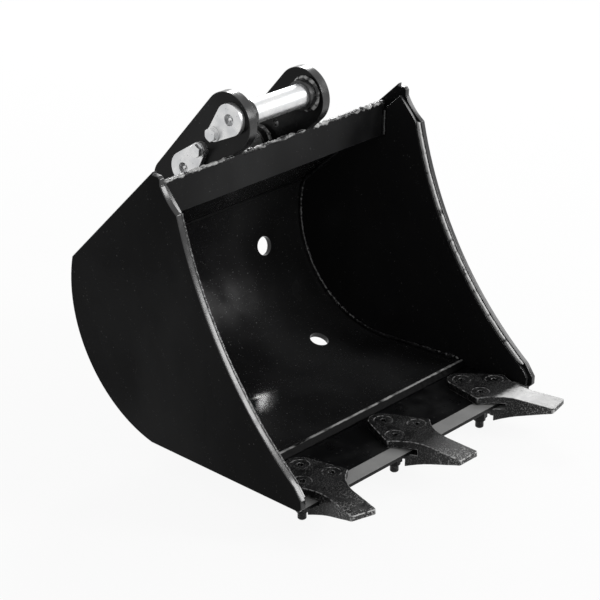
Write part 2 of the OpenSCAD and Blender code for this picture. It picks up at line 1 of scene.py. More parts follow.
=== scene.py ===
# %% [markdown]
# # A digging bucket for a small tractor backhoe
# The real bucket is cut from 6 and 8 mm steel sheet, rolled at the back and welded all along its joints.
# Two pins hold it to the machine, and three bolted teeth break the ground. It is painted gloss black
# after welding. Only the pins, with their flag plates, nipples and retaining bolts, are zinc plated.
#
# This lesson starts from the finished metal shapes of the CAD model, which are exact but have razor
# edges. Each one is copied, given the small rounding that a sheet has after cutting and painting, and
# dressed in a finish built from nodes. The weld beads are made lumpy, as a hand-laid bead is.

# %% Load the frame
import json
import math

import bmesh
import bpy
from mathutils import Euler, Matrix, Vector


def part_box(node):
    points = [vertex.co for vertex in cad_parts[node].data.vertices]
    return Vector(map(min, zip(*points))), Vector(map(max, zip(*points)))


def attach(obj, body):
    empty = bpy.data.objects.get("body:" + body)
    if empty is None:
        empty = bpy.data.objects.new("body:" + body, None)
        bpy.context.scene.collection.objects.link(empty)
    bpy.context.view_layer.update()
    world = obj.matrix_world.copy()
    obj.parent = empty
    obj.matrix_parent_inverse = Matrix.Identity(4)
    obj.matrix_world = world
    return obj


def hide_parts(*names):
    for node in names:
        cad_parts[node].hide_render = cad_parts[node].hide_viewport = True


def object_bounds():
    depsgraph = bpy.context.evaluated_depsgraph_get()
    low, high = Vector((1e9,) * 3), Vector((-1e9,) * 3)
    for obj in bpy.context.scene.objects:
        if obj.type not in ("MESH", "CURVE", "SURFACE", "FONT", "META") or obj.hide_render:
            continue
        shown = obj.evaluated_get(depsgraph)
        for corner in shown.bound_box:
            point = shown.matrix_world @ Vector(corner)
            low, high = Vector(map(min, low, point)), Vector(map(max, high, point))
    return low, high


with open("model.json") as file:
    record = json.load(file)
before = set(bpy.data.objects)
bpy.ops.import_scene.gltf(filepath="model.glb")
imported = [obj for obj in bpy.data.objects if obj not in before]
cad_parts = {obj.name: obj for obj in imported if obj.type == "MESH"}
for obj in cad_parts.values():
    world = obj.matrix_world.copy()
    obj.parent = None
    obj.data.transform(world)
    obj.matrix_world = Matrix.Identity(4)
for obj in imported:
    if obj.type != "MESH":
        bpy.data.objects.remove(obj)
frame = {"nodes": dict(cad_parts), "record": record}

MM = 0.001
cad_box = [list(corner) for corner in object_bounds()]
print("CAD box in metres:", cad_box)

BODY = {node: body for body, nodes in frame["record"]["behaviour"]["bodies"].items() for node in nodes}

# %% [markdown]
# ## The camera
# The bucket was photographed from the front left and from above, with a long lens. A camera is a place,
# a direction and a lens. Here the direction comes from two angles, which are easier to judge than a
# rotation: how far round the bucket the camera stands, and how high above the horizon.

# %% Camera
def towards(around, above):
    """The direction of a place so many degrees round from the mouth and above the horizon"""
    around, above = math.radians(around), math.radians(above)
    return Vector((
        math.sin(around) * math.cos(above),
        -math.cos(around) * math.cos(above),
        math.sin(above),
    ))


CAMERA_ROUND, CAMERA_ABOVE = -48.51, 23.24
CAMERA_PLACE = (-2.07875, -1.88534, 0.92033)
SENSOR_MM, LENS_MM = 36, 131.86
FARTHEST_SEEN = 50

camera = bpy.data.objects.new("camera", bpy.data.cameras.new("camera"))
camera.data.sensor_width = SENSOR_MM
camera.data.lens = LENS_MM
camera.data.clip_end = FARTHEST_SEEN
camera.location = CAMERA_PLACE
camera.rotation_mode = "QUATERNION"
camera.rotation_quaternion = (-towards(CAMERA_ROUND, CAMERA_ABOVE)).to_track_quat("-Z", "Y")
bpy.context.scene.collection.objects.link(camera)
bpy.context.scene.camera = camera
bpy.context.scene.view_settings.view_transform = "Standard"
print("camera stands", round(camera.location.length, 3), "m from the dipper pin")

# %% [markdown]
# ## Reckoning with nodes
# A finish is a small sum: noise here, less of it there, a threshold for scratches. Linked by hand, each
# plus sign is a Math node. The class below wraps a node's output, so that `1 - mask * 0.5` in Python
# adds those nodes by itself. Colours go through a Mix node instead, because a Math node turns them grey.

# %% A value that Python can reckon with
class Value:
    """The output of a node, with Python's operators"""

    def __init__(self, finish, socket):
        self.finish, self.socket = finish, socket

    def reckon(self, operation, first, second):
        return self.finish.add("ShaderNodeMath", {"operation": operation}, {0: first, 1: second})

    def __add__(self, other):
        return self.reckon("ADD", self, other)

    def __sub__(self, other):
        return self.reckon("SUBTRACT", self, other)

    def __rsub__(self, other):
        return self.reckon("SUBTRACT", other, self)

    def __mul__(self, other):
        return self.reckon("MULTIPLY", self, other)

    def over(self, low, high):
        """0 below low, 1 above high, and a smooth rise between them"""
        return self.finish.add(
            "ShaderNodeMapRange",
            {"interpolation_type": "SMOOTHSTEP"},
            {"Value": self, "From Min": low, "From Max": high},
        )

    def largest(self, other):
        return self.reckon("MAXIMUM", self, other)


# %% A finish is a material with its sums
class Finish:
    """One paint or plating"""

    def __init__(self, name):
        self.material = bpy.data.materials.new(name)
        self.material.use_nodes = True
        self.nodes = self.material.node_tree.nodes
        self.links = self.material.node_tree.links
        self.shader = self.nodes["Principled BSDF"]
        self.place = self.add("ShaderNodeTexCoord", {}, {}, "Object")

    def feed(self, socket, value):
        if isinstance(value, Value):
            self.links.new(value.socket, socket)
        else:
            socket.default_value = value

    def add(self, kind, settings, sockets, output=0):
        """A node of that kind, with its settings, and the values or links of its sockets"""
        node = self.nodes.new(kind)
        for name, setting in settings.items():
            setattr(node, name, setting)
        for name, value in sockets.items():
            self.feed(node.inputs[name], value)
        return Value(self, node.outputs[output])

    def noise(self, per_metre, detail=3.0, stretch=(1, 1, 1), shift=(0, 0, 0)):
        """Noise between 0 and 1. A stretch below 1 draws it out in that direction."""
        placing = {"Vector": self.place, "Scale": stretch, "Location": shift}
        placed = self.add("ShaderNodeMapping", {}, placing)
        sockets = {"Vector": placed, "Scale": per_metre, "Detail": detail}
        return self.add("ShaderNodeTexNoise", {}, sockets, "Fac")

    def mix(self, part, first, second):
        """first where part is 0, second where it is 1"""
        sockets = {"Factor": part, 6: first, 7: second}
        return self.add("ShaderNodeMix", {"data_type": "RGBA"}, sockets, 2)

    def specks(self, per_metre, share, size):
        """Round dots in a share of the cells of a lattice, as dust settles"""
        settings = {"feature": "F1", "distance": "EUCLIDEAN"}
        sockets = {"Vector": self.place, "Scale": per_metre}
        near = self.add("ShaderNodeTexVoronoi", settings, sockets, "Distance")
        tint = self.add("ShaderNodeTexVoronoi", settings, sockets, "Color")
        pick = self.add("ShaderNodeSeparateColor", {}, {"Color": tint}, 0)
        return (1 - near.over(size * 0.6, size)) * pick.over(1 - share, 1 - share * 0.8)

    def scratches(self, per_metre, along, thin):
        """Fine lines where a stretched noise passes its middle, kept in patches"""
        placing = {"Vector": self.place, "Rotation": along, "Scale": (1, 14, 14)}
        placed = self.add("ShaderNodeMapping", {}, placing)
        sockets = {"Vector": placed, "Scale": per_metre, "Detail": 1.0}
        height = self.add("ShaderNodeTexNoise", {}, sockets)
        off_middle = self.add("ShaderNodeMath", {"operation": "ABSOLUTE"}, {0: height - 0.5})
        patches = self.noise(9, 2.0, shift=along).over(0.56, 0.66)
        return (1 - off_middle.over(0, thin)) * patches

    def mark(self, name):
        """What a mesh says of its own faces, such as worn where a bevel left them along an edge"""
        return self.add("ShaderNodeAttribute", {"attribute_name": name}, {}, "Fac")

    def finish(self, base, rough, bump, deep, metal=0.0, gloss=0.5):
        """Feeds the shader. deep is the bump's height in metres, gloss the strength of reflections."""
        self.feed(self.shader.inputs["Base Color"], base)
        self.feed(self.shader.inputs["Roughness"], rough)
        self.feed(self.shader.inputs["Metallic"], metal)
        self.shader.inputs["Specular IOR Level"].default_value = gloss
        raised = self.add("ShaderNodeBump", {}, {"Strength": 1.0, "Distance": deep, "Height": bump})
        self.feed(self.shader.inputs["Normal"], raised)
        print("finish", self.material.name, "has", len(self.nodes), "nodes")
        return self.material


# %% [markdown]
# ## Gloss black paint on sheet steel
# Sprayed enamel is nearly black and mirrors its surroundings. What makes it look like paint is what
# disturbs the mirror: an orange peel about 2 mm across, slow waves where the sheet isn't quite flat,
# smears where hands and rain went over it, dust, fine scratches, and edges where the paint is thin.
# The black itself is nearly one colour, so most of the detail goes into roughness and bump. Inside the
# bucket
# the black is about three times lighter: painted light, making up for the light that the walls keep out.

# %% Black paint
PAINT = (0.003, 0.003, 0.0033, 1)
# A lighter black for the inside and the inner walls: painted light for the light that the walls keep out
INSIDE_BLACK_WITH_PAINTED_LIGHT = (0.01, 0.01, 0.0104, 1)
DUST = (0.08, 0.08, 0.079, 1)
SCUFF = (0.04, 0.0405, 0.041, 1)
THIN = (0.06, 0.062, 0.065, 1)


def black_paint(
    name, dusty, scratched, smeared, peel, gloss, rough_from=0.14, black=PAINT, rubbed=0.8
):
    """gloss: strength of the mirror. rough_from: its blur where clean. rubbed: how bare the edges are."""
    paint = Finish(name)
    haze = paint.noise(7, 4.0).over(0.42, 0.7)
    smear = paint.noise(5, 5.0, stretch=(1, 1, 0.35), shift=(0.3, 0.1, 0)).over(0.4, 0.7)
    dots = paint.specks(150, dusty, 0.16).largest(paint.specks(420, dusty * 1.6, 0.22))
    one_way = paint.scratches(26, (0.5, 0.3, 0.9), 0.004)
    other_way = paint.scratches(34, (1.1, 2.0, 0.2), 0.003)
    lines = one_way.largest(other_way) * scratched
    edge = paint.mark("worn") * paint.noise(120, 4.0).over(0.42, 0.62)
    base = paint.mix(smear * smeared + haze * smeared * 0.5, black, SCUFF)
    base = paint.mix(dots, base, DUST)
    base = paint.mix(lines * 0.6, base, SCUFF)
    base = paint.mix(edge * rubbed, base, THIN)
    rough = haze * 0.1 + smear * 0.16 + dots * 0.3 + lines * 0.25 + edge * 0.15 + rough_from
    height = paint.noise(420, 1.0) * peel + paint.noise(11, 2.0) * 6 + lines * -0.5 + dots * 0.4
    return paint.finish(base, rough, height, 0.00005, gloss=gloss)


sheet_paint = black_paint(
    "gloss_black_sheet", dusty=0.08, scratched=0.8, smeared=0.3, peel=0.5, gloss=0.03, rough_from=0.22
)
# The inside and the inner walls take the lighter black, which is painted light
inside_paint = black_paint(
    "gloss_black_inside", dusty=0.16, scratched=1.0, smeared=0.4, peel=0.4, gloss=0.32,
    rough_from=0.06, black=INSIDE_BLACK_WITH_PAINTED_LIGHT, rubbed=0.1,
)
wall_paint = black_paint(
    "gloss_black_inner_walls", dusty=0.06, scratched=0.6, smeared=0.12, peel=0.5, gloss=0.05,
    rough_from=0.26, black=INSIDE_BLACK_WITH_PAINTED_LIGHT, rubbed=0.5,
)
ear_paint = black_paint(
    "gloss_black_ears", dusty=0.05, scratched=0.4, smeared=0.3, peel=0.6, gloss=0.12
)
beam_paint = black_paint(
    "gloss_black_beam", dusty=0.05, scratched=0.5, smeared=0.4, peel=0.6, gloss=0.11, rough_from=0.3
)

# %% [markdown]
# The cut rims of the plates are another matter. Paint is thin on a rim, and every load of earth rubs it,
# so it shines more than the flat of the sheet. It gets a paint of its own with a stronger mirror.

# %% Paint on cut rims
SATIN_BLACK = (0.014, 0.014, 0.0145, 1)
RIM_RUBBED = (0.04, 0.04, 0.041, 1)
RIM_NICK = (0.16, 0.16, 0.16, 1)

rim = Finish("rubbed_black_rim")
rim_rub = rim.noise(60, 4.0).over(0.45, 0.7)
rim_nick = rim.noise(200, 3.0).over(0.7, 0.76)
rim_tone = rim.mix(rim_rub * 0.6, SATIN_BLACK, RIM_RUBBED)
rim_tone = rim.mix(rim_nick, rim_tone, RIM_NICK)
rim_rough = rim_rub * 0.08 + rim_nick * 0.2 + 0.2
rim_paint = rim.finish(rim_tone, rim_rough, rim.noise(300, 2.0) - rim_nick, 0.00003, gloss=0.55)

# %% [markdown]
# ## Paint over a weld bead
# A bead freezes in ripples, with spatter beside it. Paint follows every ripple, so a bead glitters in
# small points where a flat sheet shows one soft reflection. The ripples are bump, because they are
# finer than the lumps that the mesh of a bead has.

# %% Weld paint
BEAD_GREY = (0.02, 0.02, 0.021, 1)
SPATTER = (0.12, 0.12, 0.12, 1)

bead = Finish("paint_on_welds")
ripple = bead.noise(240, 3.0)
blister = bead.specks(300, 0.3, 0.45)
crust = bead.noise(900, 2.0)
bead_tone = bead.mix(bead.noise(60, 4.0).over(0.45, 0.7), PAINT, BEAD_GREY)
bead_tone = bead.mix(bead.specks(500, 0.05, 0.3), bead_tone, SPATTER)
bead_rough = bead.noise(80, 3.0) * 0.2 + 0.12
bead_height = ripple * 2 + blister * 0.8 + crust * 0.3
weld_paint = bead.finish(bead_tone, bead_rough, bead_height, 0.0004, gloss=0.6)

# %% [markdown]
# The bead along the top of the cross beam and the rings round the bosses are rubbed by chains and pins,
# and the bead at the right mouth edge by every load. They are the same bead made light grey on its high
# spots, and at the mouth nearly all over. This is partly paint worn off and partly a painted highlight
# for the glints that these beads show.

# %% Worn weld paint
# A light grey for the high spots: partly bare metal, partly a painted highlight
WORN_AND_HIGHLIGHT_GREY = (0.5, 0.5, 0.495, 1)


def weld_with_painted_highlight(name, painted_below, highlighted_above):
    """The two heights are on the scale of the noise, whose middle is 0.5"""
    rubbed = Finish(name)
    lumps = rubbed.noise(110, 4.0, stretch=(0.5, 1, 1))
    # The high spots take the light grey, partly as a painted highlight
    highlighted_spots = lumps.over(painted_below, highlighted_above)
    tone = rubbed.mix(highlighted_spots, SATIN_BLACK, WORN_AND_HIGHLIGHT_GREY)
    height = lumps * 2 + rubbed.noise(900, 2.0) * 0.3
    return rubbed.finish(tone, highlighted_spots * 0.15 + 0.2, height, 0.0005, gloss=0.4)


highlighted_beam_and_boss_weld = weld_with_painted_highlight("worn_paint_and_painted_highlight_on_welds", 0.46, 0.62)
highlighted_mouth_weld = weld_with_painted_highlight("painted_highlight_on_mouth_weld", 0.3, 0.46)

# %% [markdown]
# ## Forged teeth
# The teeth are forged or cast, so their skin is pitted under the paint. The points have been sanded or
# scuffed, and the one on the right is bare steel on top of its tip. How far along the tooth a place is
# comes from its Y, since the teeth point to -Y; the tip begins where the wedge gets thin. The bolt heads
# get the same paint with lighter edges.

# %% Tooth paint
TIP_END, TIP_START = -0.347, -0.285
BARE_START, BARE_BLUR = -0.262, 0.006
CAST_GREY = (0.012, 0.012, 0.0125, 1)
STEEL_DULL = (0.42, 0.42, 0.42, 1)
STEEL = (0.5, 0.5, 0.495, 1)
GRIT = (0.62, 0.62, 0.615, 1)
TIP_DUST = (0.09, 0.09, 0.088, 1)
TIP_EDGE = (0.65, 0.65, 0.645, 1)


def tooth_paint(name, bare, edge_tone=0.4):
    """bare: how much of the top of the tip shows steel. edge_tone: how light the edges are."""
    cast = Finish(name)
    along = cast.add("ShaderNodeSeparateXYZ", {}, {"Vector": cast.place}, "Y")
    tip = 1 - (along + cast.noise(70, 4.0) * 0.02 - 0.01).over(TIP_END, TIP_START)
    pits = cast.noise(500, 5.0)
    grit = cast.noise(520, 4.0).over(0.53, 0.6) * cast.noise(60, 2.0).over(0.3, 0.52)
    edge = cast.mark("worn") * cast.noise(150, 4.0).over(0.4, 0.6)
    steel = cast.mix(cast.noise(60, 4.0).over(0.35, 0.7), STEEL_DULL, STEEL)
    base = cast.mix(cast.noise(45, 5.0).over(0.4, 0.7), PAINT, CAST_GREY)
    base = cast.mix(grit * (tip * 0.8 + 0.12), base, GRIT)
    base = cast.mix(tip * cast.noise(90, 3.0).over(0.35, 0.65) * 0.5, base, TIP_DUST)
    base = cast.mix(edge * 0.8, base, (edge_tone, edge_tone, edge_tone, 1))
    base = cast.mix(edge * tip, base, TIP_EDGE)
    ragged = along + cast.noise(160, 4.0) * 0.014
    rubbed = 1 - ragged.over(BARE_START - BARE_BLUR, BARE_START + BARE_BLUR)
    skin = rubbed * cast.mark("top") * bare
    base = cast.mix(skin, base, steel)
    rough = cast.noise(90, 3.0) * 0.2 + tip * 0.15 + skin * 0.1 + 0.22
    return cast.finish(base, rough, pits + grit * 0.6, 0.00028, metal=skin * 0.4, gloss=0.2)


plain_tooth = tooth_paint("tooth_paint_scuffed", bare=0.0)
bare_tooth = tooth_paint("tooth_paint_bare_tip", bare=1.0)
bolt_paint = tooth_paint("tooth_bolt_paint", bare=0.0, edge_tone=0.5)

# %% [markdown]
# ## The seam of the floor
# The floor ends in a bead on the cutting edge. Along the top of the bead its colour is a light grey, a
# painted highlight for the glint that runs along it, and below that it is black. How high a place is
# comes from its Z.

# %% Seam paint
HIGHLIGHT_FROM, HIGHLIGHT_TO = -0.4073, -0.4065
SEAM_BLACK = (0.004, 0.004, 0.0042, 1)
# A light grey along the top of the bead: a painted highlight
SEAM_PAINTED_HIGHLIGHT = (0.36, 0.36, 0.356, 1)

seam = Finish("paint_on_floor_seam")
seam_height = seam.add("ShaderNodeSeparateXYZ", {}, {"Vector": seam.place}, "Z")
# The top of the bead is lightened by height, as a painted highlight
seam_highlight = (seam_height + seam.noise(110, 3.0) * 0.0012).over(HIGHLIGHT_FROM, HIGHLIGHT_TO)
seam_highlight = seam_highlight * seam.noise(50, 4.0).over(0.3, 0.55)
seam_tone = seam.mix(seam_highlight, SEAM_BLACK, SEAM_PAINTED_HIGHLIGHT)
seam_paint = seam.finish(seam_tone, seam_highlight * 0.1 + 0.42, seam.noise(260, 3.0), 0.0002, gloss=0.025)

# %% [markdown]
# ## The cutting edge
# A flat bar of harder steel lies under the floor. Its front is ground to a slope and left bare, and the
# grinding leaves fine lines across the slope. The rest is painted with the bucket. The slope gets its
# own mark on its faces when the bar is made, and the finish reads that mark.

# %% Edge steel
GROUND_DARK = (0.2, 0.2, 0.2, 1)
GROUND_LIGHT = (0.34, 0.34, 0.335, 1)

bar = Finish("painted_bar_with_ground_slope")
ground = bar.mark("ground") * (bar.noise(40, 4.0) + 0.35).over(0.42, 0.62)
grinding = bar.noise(900, 2.0, stretch=(1, 0.05, 0.05))
metal_tone = bar.mix(bar.noise(25, 5.0), GROUND_DARK, GROUND_LIGHT)
bar_tone = bar.mix(bar.specks(200, 0.15, 0.2), PAINT, DUST)
bar_tone = bar.mix(bar.noise(18, 4.0).over(0.45, 0.75) * 0.3, bar_tone, SCUFF)
bar_tone = bar.mix(ground, bar_tone, metal_tone)
edge_steel = bar.finish(
    bar_tone,
    bar.noise(30, 3.0) * 0.2 + ground * 0.2 + 0.2,
    grinding * ground + bar.noise(400, 2.0) * 0.5,
    0.0001,
    metal=ground * 0.3,
    gloss=0.12,
)

# %% [markdown]
# ## Bright zinc
# Pins, flag plates, retaining bolts and grease nipples are zinc plated. Zinc is a soft mirror, a little
# cloudy, with the marks of the lathe round each pin. The pins lie along X, so noise stretched along the
# other two directions, and squeezed along X, gives rings.

# %% Zinc plate
ZINC = (0.8, 0.8, 0.8, 1)
ZINC_CLOUDY = (0.66, 0.67, 0.68, 1)
ZINC_GRIME = (0.28, 0.28, 0.28, 1)
ZINC_EDGE = (0.86, 0.86, 0.86, 1)


def zinc_plate(name, turned):
    """turned: how deep the lathe's rings are"""
    zinc = Finish(name)
    rings = zinc.noise(900, 2.0, stretch=(1, 0.03, 0.03)) * turned
    cloud = zinc.noise(45, 4.0).over(0.35, 0.7)
    marks = zinc.scratches(40, (0.2, 0.9, 0.4), 0.006)
    grime = zinc.specks(260, 0.04, 0.2)
    edge = zinc.mark("worn") * 0.5
    tone = zinc.mix(cloud, ZINC, ZINC_CLOUDY)
    tone = zinc.mix(grime.largest(marks * 0.7), tone, ZINC_GRIME)
    tone = zinc.mix(edge, tone, ZINC_EDGE)
    rough = cloud * 0.14 + marks * 0.2 + grime * 0.2 + 0.26
    height = rings + zinc.noise(300, 3.0) * 0.6 - marks * 0.4
    return zinc.finish(tone, rough, height, 0.00008, metal=0.85)


turned_zinc = zinc_plate("bright_zinc_turned", turned=1.0)
flat_zinc = zinc_plate("bright_zinc_plate", turned=0.2)

# %% [markdown]
# ## Dressing a solid
# A CAD solid has edges with no width, and light never catches them. Real sheet has a small round there
# that shows as a thin bright line, and that line is what tells the eye how thick a plate is.
#
# The CAD mesh itself stays as it is, because the model is also used without this scene. A copy is
# merged, its flat triangles are joined into whole faces, its sharp edges are bevelled, and the faces
# that the bevel leaves are marked, so that a finish can wear the paint there. A modifier then lets the
# large faces lead the shading, or the bevels would make flat sheet look like a pillow.

# %% Helpers for dressing
MERGE = 0.02 * MM               # points nearer than this become one
FLAT = math.radians(0.8)        # triangles that bend less than this become one face
SHARP = math.radians(32)        # edges that bend more than this are bevelled
BEVEL_STEPS = 2
RIM_LEAN = 0.97                 # a face whose X is below this stands across a plate's thickness
TOP_LEAN = 0.9                  # a face whose Z is above this is a top


def copied(node):
    """A merged copy of a CAD node's mesh, with whole flat faces"""
    shape = bmesh.new()
    shape.from_mesh(frame["nodes"][node].data)
    bmesh.ops.remove_doubles(shape, verts=shape.verts, dist=MERGE)
    bmesh.ops.dissolve_limit(
        shape, angle_limit=FLAT, use_dissolve_boundaries=False, verts=shape.verts, edges=shape.edges
    )
    return shape


def rounded(shape, width, held=False):
    """Bevels every sharp edge and marks the faces that this leaves. held fits it to the shortest edge."""
    worn = shape.faces.layers.float.new("worn")
    edges = [e for e in shape.edges if len(e.link_faces) == 2 and e.calc_face_angle(0) > SHARP]
    made = bmesh.ops.bevel(
        shape, geom=edges, offset=width, offset_type="OFFSET", affect="EDGES", segments=BEVEL_STEPS,
        profile=0.5, material=-1, clamp_overlap=held, miter_outer="SHARP", miter_inner="SHARP",
        loop_slide=True,
    )
    for face in made["faces"]:
        face[worn] = 1.0
    return len(made["faces"])


def smoothed(mesh):
    """Shades every face smoothly"""
    for face in mesh.polygons:
        face.use_smooth = True


def finished(shape, name, nodes, materials):
    """Makes the shape an object that rides on its body and stands for its nodes. Frees the shape."""
    mesh = bpy.data.meshes.new(name)
    shape.to_mesh(mesh)
    shape.free()
    smoothed(mesh)
    mesh.set_sharp_from_angle(angle=SHARP)
    for material in materials:
        mesh.materials.append(material)
    piece = bpy.data.objects.new(name, mesh)
    bpy.context.scene.collection.objects.link(piece)
    lead = piece.modifiers.new("flat_faces_lead", "WEIGHTED_NORMAL")
    lead.mode, lead.weight, lead.keep_sharp = "FACE_AREA", 50, True
    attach(piece, BODY[nodes[0]])
    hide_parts(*nodes)
    return piece


def dressed(node, width, material, rim=None, held=False):
    """A dressed copy of a node. rim is the finish of the faces that stand across a plate's thickness."""
    shape = copied(node)
    lines = rounded(shape, width, held)
    shape.normal_update()
    top = shape.faces.layers.float.new("top")
    for face in shape.faces:
        face.material_index = 1 if rim and abs(face.normal.x) < RIM_LEAN else 0
        face[top] = 1.0 if face.normal.z > TOP_LEAN else 0.0
    piece = finished(shape, node + "_dressed", [node], [material, rim] if rim else [material])
    print(f"{node}: {lines} faces along its edges, {len(piece.data.polygons)} in all")


# %% [markdown]
# ## The welded sheet
# The side plates, inner walls, top, rolled back and cross beam are cut and bent sheet. The bevel is half
# a millimetre wide, which is what a cut edge has after grinding and paint. The side plates take the
# knocks, so theirs is twice that, and they and the inner walls get the rim paint on their rims.

# %% Sheet metal
for node in ("side_plate_left", "side_plate_right"):
    dressed(node, 1.0 * MM, sheet_paint, rim_paint)
for node in ("side_wall_left", "side_wall_right"):
    dressed(node, 0.5 * MM, wall_paint, rim_paint)
for node in ("top_panel", "back_and_floor"):
    dressed(node, 0.5 * MM, inside_paint)
dressed("cross_beam", 0.5 * MM, beam_paint)

# %% [markdown]
# ## Ears and bosses
# The ears are flame cut from thicker plate and are ground a little rounder than the sheet. The bosses
# are turned rings welded to them, and are rubbed all over.

# %% Ears and bosses
for node in ("ear_left", "ear_right"):
    dressed(node, 0.7 * MM, ear_paint, rim_paint)
for node in ("dipper_boss_left", "dipper_boss_right", "link_boss_left", "link_boss_right"):
    dressed(node, 0.5 * MM, rim_paint)

# %% [markdown]
# ## The cutting edge and its slope
# The bar is dressed like the rest, and then the faces that lean forwards and up are marked as ground.
# Reading the direction of a face is simpler and safer than finding the slope by its place.

# %% Cutting edge
LEAN_FORWARD = -0.05
LEAN_UP, NEARLY_LEVEL = 0.5, 0.9995

shape = copied("cutting_edge")
rounded(shape, 0.4 * MM, held=True)
ground_mark = shape.faces.layers.float.new("ground")
shape.normal_update()
slope_faces = [
    face for face in shape.faces
    if face.normal.y < LEAN_FORWARD and LEAN_UP < face.normal.z < NEARLY_LEVEL
]
for face in slope_faces:
    face[ground_mark] = 1.0
finished(shape, "cutting_edge_dressed", ["cutting_edge"], [edge_steel])
print("ground faces:", len(slope_faces))

# %% [markdown]
# ## Teeth
# A forging has no sharp edge at all, so the teeth get the widest bevel. The pitted skin is in the
# finish.

# %% Teeth
FORGED_ROUND = 1.1 * MM
dressed("tooth_left", FORGED_ROUND, plain_tooth)
dressed("tooth_middle", FORGED_ROUND, plain_tooth)
dressed("tooth_right", FORGED_ROUND, bare_tooth)

# %% [markdown]
# ## Bolts, washers and nuts
# The countersunk bolts, their washers and lock nuts were painted with the bucket. Only a hairline of a
# bevel fits on them, and on the bolts it is held to what their shortest edge allows. Each node holds
# nine alike.

# %% Tooth fasteners
dressed("tooth_bolts", 0.5 * MM, bolt_paint, held=True)
dressed("tooth_washers", 0.2 * MM, ear_paint)
dressed("tooth_nuts", 0.3 * MM, ear_paint)

# %% [markdown]
# ## Pins and their flag plates
# Pins, flag plates, retaining bolts and washers are bright. The flag plate is welded to the pin's head
# and its bolt keeps it from turning.

# %% Pins and flags
for pin in ("dipper", "link"):
    dressed(pin + "_pin", 0.4 * MM, turned_zinc, held=True)
    dressed(pin + "_flag", 0.8 * MM, flat_zinc, held=True)
    dressed(pin + "_keeper_bolt", 0.25 * MM, flat_zinc, held=True)
    dressed(pin + "_keeper_washer", 0.2 * MM, flat_zinc)

# %% [markdown]
# ## Grease nipples
# A grease nipple is a small turned part with a hexagon, a neck, a head for the gun and a spring ball in
# its tip. The way to make a turned part is to draw half of its outline and carry it round its axis, as a
# lathe does. The hexagon is a short prism under it.
#
# Blender's spin operator does this too, but it lists the points in another order each time it runs. The
# loops below give the same mesh to the last byte.

# %% Grease nipples
HALF_OUTLINE = (
    (0, 0), (3.4, 0), (3.4, 3.0), (2.2, 3.2), (2.0, 3.6), (2.0, 4.3), (2.5, 4.6), (3.1, 5.0),
    (3.2, 5.4), (2.9, 5.9), (2.3, 6.4), (1.5, 6.7), (1.1, 6.75), (1.0, 6.6), (0.6, 6.9), (0, 7.0),
)
TURNS = 32
HEXAGON_RADIUS, HEXAGON_TALL, HEXAGON_MIDDLE = 4.55 * MM, 2.6 * MM, 1.5 * MM
HEXAGON_ROUND = 0.25 * MM


def turned_on_z(outline):
    """Carries an outline of radii and heights, which starts and ends on the axis, round Z"""
    shape = bmesh.new()
    rings = []
    for radius, height in outline:
        angles = [math.tau * turn / TURNS for turn in range(TURNS if radius else 1)]
        rings.append([
            shape.verts.new((radius * math.cos(angle), radius * math.sin(angle), height))
            for angle in angles
        ])
    for lower, upper in zip(rings, rings[1:]):
        for turn in range(TURNS):
            here, there = turn, turn + 1
            corners = (
                lower[here % len(lower)], lower[there % len(lower)],
                upper[there % len(upper)], upper[here % len(upper)],
            )
            shape.faces.new(list(dict.fromkeys(corners)))
    return shape


def nipple(pin):
    """A nipple that stands on its pin's end and points to -X, as tall as the CAD one"""
    low, high = (Vector(corner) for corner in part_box(pin + "_nipple"))
    tall, middle = high.x - low.x, (low + high) / 2
    squeeze = tall / (HALF_OUTLINE[-1][1] * MM)
    shape = turned_on_z([(radius * MM, height * MM * squeeze) for radius, height in HALF_OUTLINE])
    flats = bmesh.ops.create_cone(
        shape, cap_ends=True, segments=6, radius1=HEXAGON_RADIUS, radius2=HEXAGON_RADIUS,
        depth=HEXAGON_TALL, matrix=Matrix.Translation((0, 0, HEXAGON_MIDDLE)),
    )
    hexagon = {face for vert in flats["verts"] for face in vert.link_faces}
    rims = [edge for edge in shape.edges if any(face in hexagon for face in edge.link_faces)]
    bmesh.ops.bevel(
        shape, geom=rims, offset=HEXAGON_ROUND, offset_type="OFFSET", affect="EDGES",
        segments=BEVEL_STEPS, profile=0.5, material=-1,
    )
    bmesh.ops.recalc_face_normals(shape, faces=shape.faces)
    laid_down = Euler((0, -math.pi / 2, 0)).to_matrix().to_4x4()
    on_the_pin = Matrix.Translation((high.x, middle.y, middle.z))
    bmesh.ops.transform(shape, matrix=on_the_pin @ laid_down, verts=shape.verts)
    worn = shape.faces.layers.float.new("worn")
    for face in shape.faces:
        face[worn] = 0.0
    finished(shape, pin + "_nipple_turned", [pin + "_nipple"], [flat_zinc])
    print(pin, "nipple is", round(tall / MM, 1), "mm tall")


nipple("dipper")
nipple("link")

# %% [markdown]
# ## Weld beads
# A hand-laid bead is a row of overlapping puddles, never a clean strip. The CAD strip says where the bead
# runs and how thick it is. A copy of it is remeshed into small even cells, smoothed until its corners
# are gone, and pushed in and out by a cloud pattern along its normals.
# Remeshing is chosen over bevelling because a bead has no edges to keep.

# %% Lumpy beads
SMOOTHING_PASSES = 6

clouds = bpy.data.textures.new("puddles", "CLOUDS")
clouds.noise_scale = 7 * MM
clouds.noise_depth = 2


